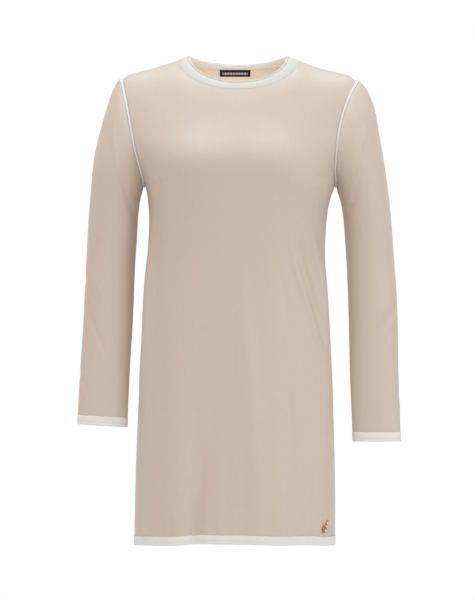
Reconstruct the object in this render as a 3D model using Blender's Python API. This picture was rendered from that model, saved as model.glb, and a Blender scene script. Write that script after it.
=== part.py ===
"""Long-sleeved A-line tunic in fine beige jersey with ivory knitted trims, filled out as an unseen wearer holds it.

Metres, +Z up. The front faces -Y and the wearer's left arm is at +X, so "right" is the -X side. The origin is in
the middle of the neck opening, level with the shoulder seams at the neck. Every cloth piece is one thin wall and
stands 0.3 mm from its neighbour at a seam.
"""

import math

import bmesh
import bpy
import numpy as np

# Cloth and seams
WALL = 0.0015
TRIM_WALL = 0.0022
SEAM_GAP = 0.0003

# Heights, measured down from the shoulder seams at the neck
UNDERARM_HEIGHT = -0.2240
HEM_SEAM_HEIGHT = -0.8445
HEM_BAND_DEPTH = 0.0153
HEM_LIFT = {"front": 0.0052, "back": 0.0}
HEM_WAVE = 0.15
CUFF_BAND_DEPTH = 0.0160

# Neckline, where the neck band is sewn on
NECK_HALF_WIDTH = 0.1075
NECK_DROP = {"front": 0.0514, "back": 0.0120}
NECK_CURVE = {"front": (2.2, 0.62), "back": (2.2, 0.90)}

# The band's inner edge as shares of the seam's own width and depth, and how far it rises above the seam
BAND_SHARE_ACROSS = 0.800
BAND_SHARE_DEEP = {"front": 0.82, "back": 0.75}
BAND_RISE_MIDDLE = {"front": 0.0127, "back": 0.0058}
BAND_RISE_SIDE = 0.0080
ROLL_HEIGHT = 0.0009

# Armholes: how far their edges stand from the side seam's plane, over what height they curve in to it and how fast
ARMHOLE_DEPTH = {"front": 0.070, "back": 0.074}
ARMHOLE_CURVE_HEIGHT = 0.085
ARMHOLE_CURVE = 0.60
PIPING_WIDTH_TOP = 0.0044
PIPING_WIDTH_LOW = 0.0030
PIPING_THICKNESS = 0.0024

# Roll of the panels over the shoulders: height over which it happens, and its two curve exponents
SHOULDER_ROLL = {"front": (0.280, 2.0, 0.50), "back": (0.180, 2.2, 0.42)}

# Mesh: columns along one shoulder and along half the neckline, rows above the underarm, rings along a sleeve
SHOULDER_COLUMNS = 6
NECK_COLUMNS = 9
ARMHOLE_ROWS = 12
SLEEVE_RINGS = 21

# Label and ornament
LABEL_MIDDLE = -0.0055
LABEL_WIDTH = 0.0546
LABEL_TOP = -0.0132
LABEL_DEPTH = 0.0112
LABEL_THICKNESS = 0.0010
CHARM_PLACE = (0.1530, -0.8257)
CHARM_TILT = 38.0
CHARM_LENGTH = 0.0280
CHARM_WIDTH = 0.0115
CHARM_THICKNESS = 0.0012
STONE_WIDTH = 0.0044
STONES = ((0.0018, -0.0066), (0.0009, 0.0016), (0.0001, 0.0076))


class Table:
    """Rows of numbers under named columns, read between the rows along a smooth curve by the first column."""

    def __init__(self, names, rows):
        self.names = names.split()
        self.rows = np.array(sorted(rows), float)

    def read(self, name, at):
        keys = self.rows[:, 0]
        values = self.rows[:, self.names.index(name)]
        slopes = np.gradient(values, keys)
        at = np.clip(at, keys[0], keys[-1])
        low = np.clip(np.searchsorted(keys, at) - 1, 0, len(keys) - 2)
        step = keys[low + 1] - keys[low]
        part = (at - keys[low]) / step
        rest = 1 - part
        start = values[low] * (1 + 2 * part) + slopes[low] * step * part
        end = values[low + 1] * (1 + 2 * rest) - slopes[low + 1] * step * rest
        return start * rest**2 + end * part**2


# Body sections: how far the side edge stands to each side, how deep the middle stands, how square the section is
BODY = Table(
    "height right left front back roundness",
    [
        (-0.0350, 0.2046, 0.2098, 0.1280, 0.1030, 1.75),
        (-0.0600, 0.1990, 0.1960, 0.1280, 0.1030, 1.75),
        (-0.1000, 0.1913, 0.1815, 0.1280, 0.1030, 1.80),
        (-0.1350, 0.1850, 0.1745, 0.1280, 0.1030, 1.90),
        (-0.1700, 0.1775, 0.1706, 0.1275, 0.1030, 2.15),
        (-0.1950, 0.1705, 0.1692, 0.1265, 0.1020, 2.40),
        (-0.2240, 0.1640, 0.1704, 0.1245, 0.1010, 2.50),
        (-0.2400, 0.1610, 0.1650, 0.1230, 0.1000, 2.45),
        (-0.2600, 0.1588, 0.1598, 0.1210, 0.0980, 2.40),
        (-0.2800, 0.1576, 0.1572, 0.1185, 0.0960, 2.35),
        (-0.3150, 0.1590, 0.1545, 0.1155, 0.0920, 2.30),
        (-0.3500, 0.1612, 0.1540, 0.1135, 0.0900, 2.25),
        (-0.4000, 0.1655, 0.1573, 0.1125, 0.0900, 2.25),
        (-0.5000, 0.1705, 0.1630, 0.1140, 0.1000, 2.25),
        (-0.6200, 0.1772, 0.1684, 0.1170, 0.1120, 2.25),
        (-0.7500, 0.1822, 0.1717, 0.1210, 0.1150, 2.25),
        (-0.8600, 0.1842, 0.1719, 0.1240, 0.1160, 2.25),
    ],
)

# Fullness shaped into the front: where each side's middle is, its half width and half height, how far it stands out
BUST = [
    # across  height   width   tall    height
    (-0.0830, -0.1740, 0.0480, 0.0330, 0.0080),
    (0.0860, -0.1740, 0.0480, 0.0330, 0.0080),
]

# The shoulder seams' heights by distance from the middle, running on as a guide over the neck opening
SHOULDER = Table(
    "across right left",
    [
        (0.0000, 0.0120, 0.0120),
        (0.0500, 0.0092, 0.0092),
        (0.1075, 0.0000, 0.0000),
        (0.1280, -0.0063, -0.0080),
        (0.1512, -0.0134, -0.0148),
        (0.1790, -0.0206, -0.0216),
        (0.1990, -0.0280, -0.0278),
        (0.2100, -0.0372, -0.0365),
    ],
)

# Largest soft folds: where each starts and ends, its half width, how far it stands out at its lower end
FOLDS = {
    "front": [
        # from_x  from_z   to_x    to_z    width   height
        (-0.0370, -0.300, -0.0680, -0.860, 0.0190, -0.0095),
        (0.0230, -0.380, 0.0760, -0.860, 0.0300, 0.0075),
        (-0.1120, -0.420, -0.1100, -0.860, 0.0240, 0.0060),
        (0.1080, -0.560, 0.1210, -0.860, 0.0160, -0.0050),
        (0.1500, -0.560, 0.1600, -0.860, 0.0180, 0.0040),
    ],
    "back": [
        (0.0500, -0.460, 0.0640, -0.860, 0.0220, -0.0090),
        (-0.0060, -0.420, -0.0100, -0.860, 0.0280, 0.0070),
        (-0.0700, -0.480, -0.0860, -0.860, 0.0200, -0.0080),
        (0.1120, -0.500, 0.1220, -0.860, 0.0220, 0.0060),
        (-0.1400, -0.560, -0.1480, -0.860, 0.0180, 0.0050),
    ],
}

# Sleeve rings from the armhole to the cuff: the points farthest from and nearest to the body, seen from the
# front, the half depth, and how far the ring's middle stands behind the shoulder line
SLEEVE_NAMES = "along outer_x outer_drop inner_x inner_drop half_depth behind"
SLEEVES = {
    "right": Table(
        SLEEVE_NAMES,
        [
            (0.00, 0.2098, 0.0345, 0.1692, 0.2228, 0.071, 0.003),
            (0.04, 0.2170, 0.0440, 0.1696, 0.2255, 0.070, 0.003),
            (0.08, 0.2245, 0.0600, 0.1702, 0.2290, 0.069, 0.003),
            (0.13, 0.2345, 0.0890, 0.1715, 0.2340, 0.067, 0.003),
            (0.19, 0.2462, 0.1300, 0.1735, 0.2420, 0.064, 0.003),
            (0.26, 0.2560, 0.1740, 0.1760, 0.2560, 0.061, 0.004),
            (0.34, 0.2612, 0.2250, 0.1786, 0.2800, 0.057, 0.005),
            (0.43, 0.2660, 0.2850, 0.1805, 0.3160, 0.053, 0.006),
            (0.52, 0.2692, 0.3450, 0.1838, 0.3620, 0.048, 0.006),
            (0.61, 0.2722, 0.4050, 0.1858, 0.4150, 0.044, 0.003),
            (0.71, 0.2749, 0.4650, 0.1882, 0.4720, 0.039, -0.002),
            (0.81, 0.2790, 0.5300, 0.1922, 0.5360, 0.033, -0.009),
            (0.92, 0.2825, 0.5900, 0.1950, 0.5960, 0.028, -0.016),
            (1.00, 0.2842, 0.6290, 0.1965, 0.6340, 0.025, -0.020),
        ],
    ),
    "left": Table(
        SLEEVE_NAMES,
        [
            (0.00, 0.2150, 0.0385, 0.1756, 0.2230, 0.071, 0.003),
            (0.04, 0.2232, 0.0460, 0.1760, 0.2260, 0.070, 0.003),
            (0.08, 0.2328, 0.0610, 0.1767, 0.2300, 0.069, 0.003),
            (0.13, 0.2427, 0.0880, 0.1784, 0.2360, 0.067, 0.003),
            (0.19, 0.2495, 0.1250, 0.1812, 0.2450, 0.064, 0.003),
            (0.26, 0.2575, 0.1700, 0.1846, 0.2600, 0.061, 0.004),
            (0.34, 0.2658, 0.2250, 0.1880, 0.2850, 0.057, 0.005),
            (0.43, 0.2720, 0.2850, 0.1908, 0.3200, 0.053, 0.006),
            (0.52, 0.2768, 0.3500, 0.1938, 0.3700, 0.048, 0.006),
            (0.61, 0.2815, 0.4150, 0.1962, 0.4280, 0.044, 0.003),
            (0.71, 0.2837, 0.4800, 0.1976, 0.4890, 0.039, -0.002),
            (0.81, 0.2842, 0.5500, 0.1990, 0.5570, 0.033, -0.009),
            (0.92, 0.2866, 0.6180, 0.2016, 0.6200, 0.028, -0.016),
            (1.00, 0.2876, 0.6595, 0.2032, 0.6595, 0.025, -0.020),
        ],
    ),
}

OUTWARD = {"right": -1.0, "left": 1.0}
FACING = {"front": -1.0, "back": 1.0}


def unit(vectors):
    return vectors / np.linalg.norm(vectors, axis=-1, keepdims=True)


def dot(one, other):
    return np.sum(one * other, axis=-1, keepdims=True)


def ease(part):
    part = np.clip(part, 0, 1)
    return part * part * (3 - 2 * part)


def clear_scene():
    for obj in list(bpy.data.objects):
        bpy.data.objects.remove(obj, do_unlink=True)


def make_collection():
    collection = bpy.data.collections.new("tunic_top")
    bpy.context.scene.collection.children.link(collection)
    return collection


def make_material(name, colour, roughness, metallic=0.0):
    material = bpy.data.materials.new(name)
    material.use_nodes = True
    shader = material.node_tree.nodes["Principled BSDF"]
    shader.inputs["Base Color"].default_value = (*colour, 1.0)
    shader.inputs["Roughness"].default_value = roughness
    shader.inputs["Metallic"].default_value = metallic
    return material


def jersey_material(name):
    return make_material(name, (0.625, 0.510, 0.425), 0.85)


def ivory_material(name):
    return make_material(name, (0.800, 0.785, 0.745), 0.85)


def label_material(name):
    return make_material(name, (0.012, 0.011, 0.012), 0.75)


def gold_material(name):
    return make_material(name, (0.800, 0.560, 0.330), 0.25, 1.0)


def stone_material(name):
    return make_material(name, (0.900, 0.910, 0.930), 0.05)


def add_object(name, mesh, material, collection):
    mesh.materials.clear()
    mesh.materials.append(material)
    mesh.shade_smooth()
    mesh.set_sharp_from_angle(angle=math.radians(50))
    obj = bpy.data.objects.new(name, mesh)
    collection.objects.link(obj)
    return obj


def loft(name, sections, material, collection, closed):
    """A skin through closed sections of equal length. It runs round to the first one, or both ends are filled.

    An end is filled by strips between the section's first half and its second half, as suits a thin wall.
    """
    mesh = bpy.data.meshes.new(name)
    sheet = bmesh.new()
    rows = [[sheet.verts.new(point) for point in section] for section in sections]
    count = len(rows[0])
    pairs = list(zip(rows, rows[1:] + rows[:1])) if closed else list(zip(rows, rows[1:]))
    for this, following in pairs:
        for i in range(count):
            j = (i + 1) % count
            sheet.faces.new((this[i], this[j], following[j], following[i]))
    if not closed:
        for end in (rows[0], rows[-1]):
            for i in range(count // 2 - 1):
                sheet.faces.new((end[i], end[i + 1], end[-2 - i], end[-1 - i]))
    bmesh.ops.recalc_face_normals(sheet, faces=sheet.faces)
    sheet.to_mesh(mesh)
    sheet.free()
    return add_object(name, mesh, material, collection)


def wall_sections(points, normals, thickness):
    """Each row of points becomes a closed section: its outer side, then its inner side back again."""
    outer = points + normals * thickness / 2
    inner = points - normals * thickness / 2
    return [np.concatenate([out, inn[::-1]]) for out, inn in zip(outer, inner)]


# Body panels


def half_width(column, height):
    return np.where(column < 0, BODY.read("right", height), BODY.read("left", height))


def shoulder_height(across):
    distance = np.abs(across)
    return np.where(across < 0, SHOULDER.read("right", distance), SHOULDER.read("left", distance))


def neckline_height(side, across):
    bend, end = NECK_CURVE[side]
    share = np.clip(np.abs(across) / NECK_HALF_WIDTH, 0, 1)
    return -NECK_DROP[side] * (1 - share**bend) ** end


def shoulder_roll(side, drop):
    """How much of its full depth a panel has reached at this drop below the shoulder line."""
    reach, bend, end = SHOULDER_ROLL[side]
    return (1 - (1 - np.clip(drop / reach, 0, 1)) ** bend) ** end


def fold_depth(side, across, height):
    depth = np.zeros_like(across)
    for from_x, from_z, to_x, to_z, width, stands_out in FOLDS[side]:
        part = np.clip((from_z - height) / (from_z - to_z), 0, 1.1)
        middle = from_x + (to_x - from_x) * part
        depth += stands_out * ease(part / 1.1) * np.exp(-0.5 * ((across - middle) / width) ** 2)
    return depth


def bust_depth(across, height):
    depth = np.zeros_like(across)
    for middle, level, width, tall, stands_out in BUST:
        far = ((across - middle) / width) ** 2 + ((height - level) / tall) ** 2
        depth += stands_out * np.exp(-0.5 * far)
    return depth


def panel_depth(side, column, height):
    """How far the panel stands in front of the side seam's plane, or behind it for the back.

    Above the underarm the armhole cuts the section off at a share of its width, which leaves the edge some depth.
    """
    across = column * half_width(column, height)
    place = np.abs(column)
    rise = np.clip((height - UNDERARM_HEIGHT) / ARMHOLE_CURVE_HEIGHT, 0, 1)
    full = BODY.read(side, height)
    edge = ARMHOLE_DEPTH[side] / full * np.sin(rise * math.pi / 2) ** ARMHOLE_CURVE
    roundness = BODY.read("roundness", height)
    share = place**roundness * (1 - edge**roundness)
    depth = full * np.clip(1 - share, 0, 1) ** (1 / roundness)
    if side == "front":
        depth += bust_depth(across, height) * (1 - place**4)
    drop = shoulder_height(across) - height
    return depth * shoulder_roll(side, drop) + fold_depth(side, across, height) * (1 - place**8)


def neck_shares(side, arm):
    """Shares of the half width from the middle to the neck corner, evenly spaced along the neckline."""
    sign = OUTWARD[arm]
    corner = NECK_HALF_WIDTH / BODY.read(arm, 0.0)
    share = corner * np.sin(np.linspace(0, math.pi / 2, 300))
    height = neckline_height(side, share * BODY.read(arm, 0.0))
    across = share * BODY.read(arm, height)
    line = np.stack([across, panel_depth(side, sign * share, height), height])
    length = np.concatenate([[0], np.cumsum(np.linalg.norm(np.diff(line), axis=0))])
    return np.interp(np.linspace(0, length[-1], NECK_COLUMNS + 1), length, share)


def top_columns(side):
    """Shares of the half width at the top, from -1 at the right shoulder to 1 at the left, by the neck corners."""
    halves = []
    for arm in OUTWARD:
        neck = neck_shares(side, arm)
        shoulder = np.linspace(neck[-1], 1, SHOULDER_COLUMNS + 1)
        halves.append(np.concatenate([neck, shoulder[1:]]))
    return np.concatenate([-halves[0][:0:-1], halves[1]])


def low_columns():
    """Shares of the half width below the underarm, evenly spaced round the body."""
    count = NECK_COLUMNS + SHOULDER_COLUMNS
    return np.sin(np.linspace(-math.pi / 2, math.pi / 2, 2 * count + 1))


def panel_points(side):
    """Rows from the hem seam up to the shoulder and neckline, columns from the right side to the left."""
    low = low_columns()
    high = top_columns(side)
    shares = np.array([0, 0.07, 0.16, 0.26, 0.36, 0.46, 0.56, 0.65, 0.73, 0.79, 0.84, 0.88, 0.915, 0.95, 0.977])
    hem_across = low * half_width(low, HEM_SEAM_HEIGHT)
    hem = HEM_SEAM_HEIGHT + HEM_LIFT[side] * (1 - low**2)
    hem -= HEM_WAVE * fold_depth(side, hem_across, HEM_SEAM_HEIGHT) * (1 - low**8)
    below = hem + (UNDERARM_HEIGHT - hem) * shares[:, None]
    top = np.zeros_like(high)
    for _ in range(12):
        across = high * half_width(high, top)
        on_neck = np.abs(across) <= NECK_HALF_WIDTH + 1e-6
        top = np.where(on_neck, neckline_height(side, across), shoulder_height(across))
    above = (1 - np.cos(np.linspace(0, math.pi, ARMHOLE_ROWS + 1))) / 2
    heights = np.concatenate([below, UNDERARM_HEIGHT + (top - UNDERARM_HEIGHT) * above[:, None]])
    turning = np.concatenate([np.zeros(len(shares)), ease(above)])
    columns = low + (high - low) * turning[:, None]
    across = columns * half_width(columns, heights)
    deep = FACING[side] * panel_depth(side, columns, heights)
    return np.stack([across, deep, heights], axis=-1)


def panel_normals(side, points):
    across = np.gradient(points, axis=1)
    upward = np.gradient(points, axis=0)
    return -FACING[side] * unit(np.cross(across, upward))


class Body:
    """Both panels' middle surfaces, which the sleeves and all the trims are built from."""

    def __init__(self):
        self.points = {side: panel_points(side) for side in FACING}
        self.normals = {side: panel_normals(side, self.points[side]) for side in FACING}
        self.underarm_row = self.points["front"].shape[0] - 1 - ARMHOLE_ROWS
        self.neck_start = SHOULDER_COLUMNS
        self.neck_end = SHOULDER_COLUMNS + 2 * NECK_COLUMNS
        self.share_seam_normals()
        self.open_seams()

    def seams(self):
        """Rows and columns of the two side seams and the two shoulder seams, with the way into the panel."""
        below = slice(0, self.underarm_row + 1)
        yield (below, 0), (below, 1)
        yield (below, -1), (below, -2)
        yield (-1, slice(0, self.neck_start + 1)), (-2, slice(0, self.neck_start + 1))
        yield (-1, slice(self.neck_end, None)), (-2, slice(self.neck_end, None))

    def share_seam_normals(self):
        """Both rims of a seam lean the same way, so that they stay parallel."""
        for edge, _ in self.seams():
            both = unit(self.normals["front"][edge] + self.normals["back"][edge])
            self.normals["front"][edge] = both
            self.normals["back"][edge] = both

    def open_seams(self):
        """Each panel's edge steps back by half the seam's gap."""
        for side in FACING:
            points = self.points[side]
            moves = [(edge, unit(points[inside] - points[edge])) for edge, inside in self.seams()]
            for edge, inward in moves:
                points[edge] += inward * SEAM_GAP / 2

    def loop(self, of, rows, column):
        """Values round an armhole: from the underarm up the front edge, then down the back edge."""
        front = of["front"][rows, column]
        back = of["back"][rows, column]
        low = (front[:1] + back[:1]) / 2
        high = (front[-1:] + back[-1:]) / 2
        return np.concatenate([low, front[1:-1], high, back[-2:0:-1]])

    def armhole(self, arm):
        rows = slice(self.underarm_row, None)
        column = 0 if arm == "right" else -1
        return self.loop(self.points, rows, column), unit(self.loop(self.normals, rows, column))

    def neckline(self, of):
        """Values round the neckline: across the front from right to left, then back across the back."""
        span = slice(self.neck_start, self.neck_end + 1)
        front = of["front"][-1, span]
        back = of["back"][-1, span]
        right = (front[:1] + back[:1]) / 2
        left = (front[-1:] + back[-1:]) / 2
        return np.concatenate([right, front[1:-1], left, back[-2:0:-1]])

    def on_panel(self, side, across, height):
        """The point of the panel's own facets at this distance from the middle and this height."""
        columns = self.points[side].transpose(1, 0, 2)
        at_height = [[np.interp(height, column[:, 2], column[:, k]) for k in (0, 1)] for column in columns]
        line = np.array(at_height)
        return np.array([across, np.interp(across, line[:, 0], line[:, 1]), height])


def make_panel(side, body, collection):
    sections = wall_sections(body.points[side], body.normals[side], WALL)
    loft(side, sections, jersey_material(f"jersey_{side}"), collection, closed=False)


def make_hem_band(side, body, collection):
    """A band that carries on from the panel's lowest row, down along the cloth."""
    points = body.points[side]
    normals = body.normals[side][0]
    down = unit(points[0] - points[1])
    rows = [points[0] + down * (SEAM_GAP + HEM_BAND_DEPTH * part) for part in (0, 0.5, 1)]
    name = f"hem_band_{side}"
    sections = wall_sections(np.array(rows), np.array([normals] * 3), TRIM_WALL)
    loft(name, sections, ivory_material(f"ivory_{name}"), collection, closed=False)


# Armholes and sleeves


def armhole_frame(body, arm):
    """The armhole's points with the way outwards, the way off the loop, and the trim's start and width there."""
    points, normals = body.armhole(arm)
    along = unit(np.roll(points, -1, axis=0) - np.roll(points, 1, axis=0))
    away = np.array([OUTWARD[arm], 0.0, 0.0])
    outward = unit(away - along * dot(along, away))
    off_loop = unit(np.cross(along, outward))
    middle = points.mean(axis=0)
    off_loop *= np.sign(dot(off_loop, points - middle).mean())
    start = SEAM_GAP + WALL / 2 * np.abs(dot(normals, outward))
    height = (points[:, 2:] - points[0, 2]) / (points[:, 2].max() - points[0, 2])
    width = PIPING_WIDTH_LOW + (PIPING_WIDTH_TOP - PIPING_WIDTH_LOW) * height
    return points, outward, off_loop, start, width


def make_piping(arm, body, collection):
    points, outward, off_loop, start, width = armhole_frame(body, arm)
    shape = [(0, 0.2), (0.2, 0.5), (0.8, 0.5), (1, 0.2), (1, -0.2), (0.8, -0.5), (0.2, -0.5), (0, -0.2)]
    rounds = [
        points + outward * (start + width * across) + off_loop * PIPING_THICKNESS * high
        for across, high in shape
    ]
    sections = np.array(rounds).transpose(1, 0, 2)
    name = f"armhole_piping_{arm}"
    loft(name, sections, ivory_material(f"ivory_{name}"), collection, closed=True)


def sleeve_ring(arm, along, angle):
    """An upright ellipse across the sleeve, with its long axis from the body to the outer side."""
    table = SLEEVES[arm]
    outer = np.array([table.read("outer_x", along), -table.read("outer_drop", along)])
    inner = np.array([table.read("inner_x", along), -table.read("inner_drop", along)])
    middle = (outer + inner) / 2
    half = (outer - inner) / 2
    flat = middle + half * np.cos(angle)[:, None]
    deep = table.read("behind", along) - table.read("half_depth", along) * np.sin(angle)
    return np.stack([OUTWARD[arm] * flat[:, 0], deep, flat[:, 1]], axis=-1)


def sleeve_surface(body, arm):
    """Rings from the armhole's own points to the cuff, and the normals, once the head clears the piping."""
    points, outward, _, start, width = armhole_frame(body, arm)
    angle = math.pi - 2 * math.pi * np.arange(len(points)) / len(points)
    steps = np.linspace(0, 1, SLEEVE_RINGS + 1) ** 1.25
    lean = np.ones((len(points), 1))
    for _ in range(2):
        head = points + outward * (start + width + SEAM_GAP + WALL / 2 * lean)
        shape_left = head - sleeve_ring(arm, 0.0, angle)
        rings = [sleeve_ring(arm, step, angle) + shape_left * max(0, 1 - step / 0.30) ** 2 for step in steps]
        rings = np.array(rings)
        round_it = np.roll(rings, -1, axis=1) - np.roll(rings, 1, axis=1)
        normals = unit(np.cross(round_it, np.gradient(rings, axis=0)))
        away = rings - rings.mean(axis=1, keepdims=True)
        normals *= np.sign(dot(normals, away).mean())
        lean = np.abs(dot(normals[0], outward))
    return rings, normals


def make_sleeve(arm, rings, normals, collection):
    sections = wall_sections(rings.transpose(1, 0, 2), normals.transpose(1, 0, 2), WALL)
    loft(f"sleeve_{arm}", sections, jersey_material(f"jersey_sleeve_{arm}"), collection, closed=True)


def make_cuff_band(arm, rings, normals, collection):
    """A band that carries on from the sleeve's last ring."""
    onward = unit(rings[-1] - rings[-2])
    rows = [rings[-1] + onward * (SEAM_GAP + CUFF_BAND_DEPTH * part) for part in (0, 0.5, 1)]
    rows = np.array(rows).transpose(1, 0, 2)
    leans = np.array([normals[-1]] * 3).transpose(1, 0, 2)
    name = f"cuff_band_{arm}"
    sections = wall_sections(rows, leans, TRIM_WALL)
    loft(name, sections, ivory_material(f"ivory_{name}"), collection, closed=True)


# Neck band and label


def make_neck_band(body, collection):
    """A flat band from the neckline up to the opening, where it ends in a thin raised roll."""
    seam = body.neckline(body.points)
    lean = unit(body.neckline(body.normals))
    sides = ["front" if point[1] < 0 else "back" for point in seam]
    share = 1 - (np.abs(seam[:, 0]) / NECK_HALF_WIDTH) ** 2
    opening = seam.copy()
    opening[:, 0] *= BAND_SHARE_ACROSS
    opening[:, 1] *= [BAND_SHARE_DEEP[side] for side in sides]
    middle_rise = np.array([BAND_RISE_MIDDLE[side] for side in sides])
    opening[:, 2] += BAND_RISE_SIDE + (middle_rise - BAND_RISE_SIDE) * share
    inward = unit(opening - seam)
    along = unit(np.roll(seam, -1, axis=0) - np.roll(seam, 1, axis=0))
    outside = unit(np.cross(along, inward))
    outside *= np.sign(dot(outside, lean).mean())
    start = SEAM_GAP + WALL / 2 * np.abs(dot(lean, inward))
    width = np.linalg.norm(opening - seam, axis=1, keepdims=True) - start
    half = TRIM_WALL / 2
    shape = [
        (0.00, -half),
        (0.00, half),
        (0.40, half + 0.0002),
        (0.78, half),
        (0.82, half - 0.0004),
        (0.86, half + ROLL_HEIGHT / 2),
        (0.94, half + ROLL_HEIGHT),
        (1.02, 0.0004),
        (0.97, -half - 0.0003),
        (0.50, -half - 0.0001),
    ]
    rounds = [seam + inward * (start + width * across) + outside * high for across, high in shape]
    sections = np.array(rounds).transpose(1, 0, 2)
    loft("neck_band", sections, ivory_material("ivory_neck_band"), collection, closed=True)


def make_label(body, collection):
    """A woven strip lying on the inside of the back, just below the neck band."""
    heights = [LABEL_TOP - LABEL_DEPTH, LABEL_TOP - LABEL_DEPTH / 2, LABEL_TOP]
    places = LABEL_MIDDLE + LABEL_WIDTH * np.linspace(-0.5, 0.5, 7)
    points = np.array([[body.on_panel("back", place, height) for place in places] for height in heights])
    inward = -panel_normals("back", points)
    points += inward * (WALL / 2 + SEAM_GAP + LABEL_THICKNESS / 2)
    sections = wall_sections(points, inward, LABEL_THICKNESS)
    loft("neck_label", sections, label_material("woven_label"), collection, closed=False)


# Ornament at the hem


def charm_frame(body):
    """Where the ornament sits on the front, with its own right, up and outward ways."""
    across, height = CHARM_PLACE
    place = body.on_panel("front", across, height)
    reach = 0.020
    side = body.on_panel("front", across + reach / 2, height) - body.on_panel("front", across - reach / 2, height)
    rise = body.on_panel("front", across, height + reach / 2) - body.on_panel("front", across, height - reach / 2)
    outward = unit(np.cross(side, rise))
    side = unit(side)
    upward = unit(np.cross(outward, side))
    near = []
    for step_x in np.linspace(-reach / 2, reach / 2, 9):
        for step_z in np.linspace(-reach / 2, reach / 2, 9):
            near.append(body.on_panel("front", across + step_x, height + step_z) - place)
    highest = np.max(np.array(near) @ outward)
    tilt = math.radians(CHARM_TILT)
    own_up = upward * math.cos(tilt) + side * math.sin(tilt)
    own_side = np.cross(own_up, outward)
    seat = place + outward * (highest + WALL / 2 + SEAM_GAP)
    return seat, own_side, own_up, outward


def leaf_outline(length, width, steps):
    """A leaf with a rounded foot and a pointed tip, as distances to the side and up."""
    right = []
    for i in range(steps + 1):
        part = i / steps
        right.append((width / 2 * math.sin(math.pi * part**0.75), length * (part - 0.5)))
    left = [(-across, up) for across, up in right[-2:0:-1]]
    return right + left


def make_charm(body, collection):
    seat, side, up, outward = charm_frame(body)
    outline = leaf_outline(CHARM_LENGTH, CHARM_WIDTH, 12)
    backs = [seat + side * across + up * high for across, high in outline]
    faces = [point + outward * CHARM_THICKNESS for point in backs]
    sections = [backs, faces]
    loft("hem_charm", sections, gold_material("gold_tone"), collection, closed=False)
    for number, (aside, rise) in enumerate(STONES, start=1):
        middle = seat + side * aside + up * rise + outward * (CHARM_THICKNESS + SEAM_GAP)
        rings = []
        for share, high in ((0.5, 0.0), (0.5, 0.18), (0.3, 0.34)):
            turn = np.linspace(0, 2 * math.pi, 10, endpoint=False)[:, None]
            flat = side * np.cos(turn) + up * np.sin(turn)
            rings.append(middle + flat * STONE_WIDTH * share + outward * STONE_WIDTH * high)
        loft(f"charm_stone_{number}", rings, stone_material(f"clear_stone_{number}"), collection, closed=False)


def main():
    clear_scene()
    collection = make_collection()
    body = Body()
    for side in ("front", "back"):
        make_panel(side, body, collection)
        make_hem_band(side, body, collection)
    for arm in ("right", "left"):
        make_piping(arm, body, collection)
        rings, normals = sleeve_surface(body, arm)
        make_sleeve(arm, rings, normals, collection)
        make_cuff_band(arm, rings, normals, collection)
    make_neck_band(body, collection)
    make_label(body, collection)
    make_charm(body, collection)


main()
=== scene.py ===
"""The look of a long-sleeved A-line tunic in fine beige jersey with ivory knitted trims, filled out as worn.

Metres, +Z up, the front towards -Y and the wearer's left arm at +X. Every cloth piece is a thin shell on its
solid's own surface, cut finer, with its creases and its edges turned in at the seams. The knit is in the
material.
"""

import math

import bmesh
import bpy
import numpy as np
from mathutils.kdtree import KDTree
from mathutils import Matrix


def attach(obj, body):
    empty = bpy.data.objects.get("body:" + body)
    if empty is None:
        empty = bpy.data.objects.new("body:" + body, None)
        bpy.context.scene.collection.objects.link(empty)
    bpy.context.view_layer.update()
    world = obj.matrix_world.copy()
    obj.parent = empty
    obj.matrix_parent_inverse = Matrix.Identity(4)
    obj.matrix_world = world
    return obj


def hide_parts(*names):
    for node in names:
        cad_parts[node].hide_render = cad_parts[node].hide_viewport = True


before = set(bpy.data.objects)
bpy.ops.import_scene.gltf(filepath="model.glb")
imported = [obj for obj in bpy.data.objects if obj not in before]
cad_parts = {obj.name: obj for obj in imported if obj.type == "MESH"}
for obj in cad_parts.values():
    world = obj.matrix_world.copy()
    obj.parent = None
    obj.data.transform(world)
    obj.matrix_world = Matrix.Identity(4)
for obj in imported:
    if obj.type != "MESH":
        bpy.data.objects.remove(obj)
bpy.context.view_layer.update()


# ----------------------------------------
# Front and back panels
# One piece each of fine beige jersey, cut A-line with a round neck, sewn together at the shoulders and down
# the sides. Their edges are turned in at every seam, and the cloth hangs in a few long soft folds.

SEAM_GAP = 0.0003
CLOTH = 0.0010
UNDERARM_HEIGHT = -0.2240
HEM_SEAM_HEIGHT = -0.8445
HEM_LIFT = {"front": 0.0052, "back": 0.0}
HEM_WAVE = 0.15
NECK_HALF_WIDTH = 0.1075
NECK_DROP = {"front": 0.0514, "back": 0.0120}
NECK_CURVE = {"front": (2.2, 0.62), "back": (2.2, 0.90)}
ARMHOLE_DEPTH = {"front": 0.070, "back": 0.074}
ARMHOLE_CURVE_HEIGHT = 0.085
ARMHOLE_CURVE = 0.60
SHOULDER_ROLL = {"front": (0.280, 2.0, 0.50), "back": (0.180, 2.2, 0.42)}

# How finely a panel is divided: along one shoulder, along half the neckline, below and above the underarm
SHOULDER_COLUMNS = 36
NECK_COLUMNS = 54
LOW_ROWS = 150
ARMHOLE_ROWS = 56

# The top edge's heights depend on how wide the body is there, so they are found by going round a few times
TOP_ROUNDS = 12
ROUNDING = 0.000001

# A cut edge is drawn in over its last part and rolled round: degrees turned, then the allowance beyond. The
# neckline keeps only a small share of that allowance.
DRAWN_PART = 0.015
TURN = 0.0004
EDGE_ROLL = ((25, 0), (50, 0), (72, 0), (90, 0), (90, 0.0008), (90, 0.0016))
NECK_ALLOWANCE = 0.15

# A jersey stitch's width and height
JERSEY_STITCH = (0.00115, 0.00090)

OUTWARD = {"right": -1.0, "left": 1.0}
FACING = {"front": -1.0, "back": 1.0}


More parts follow.
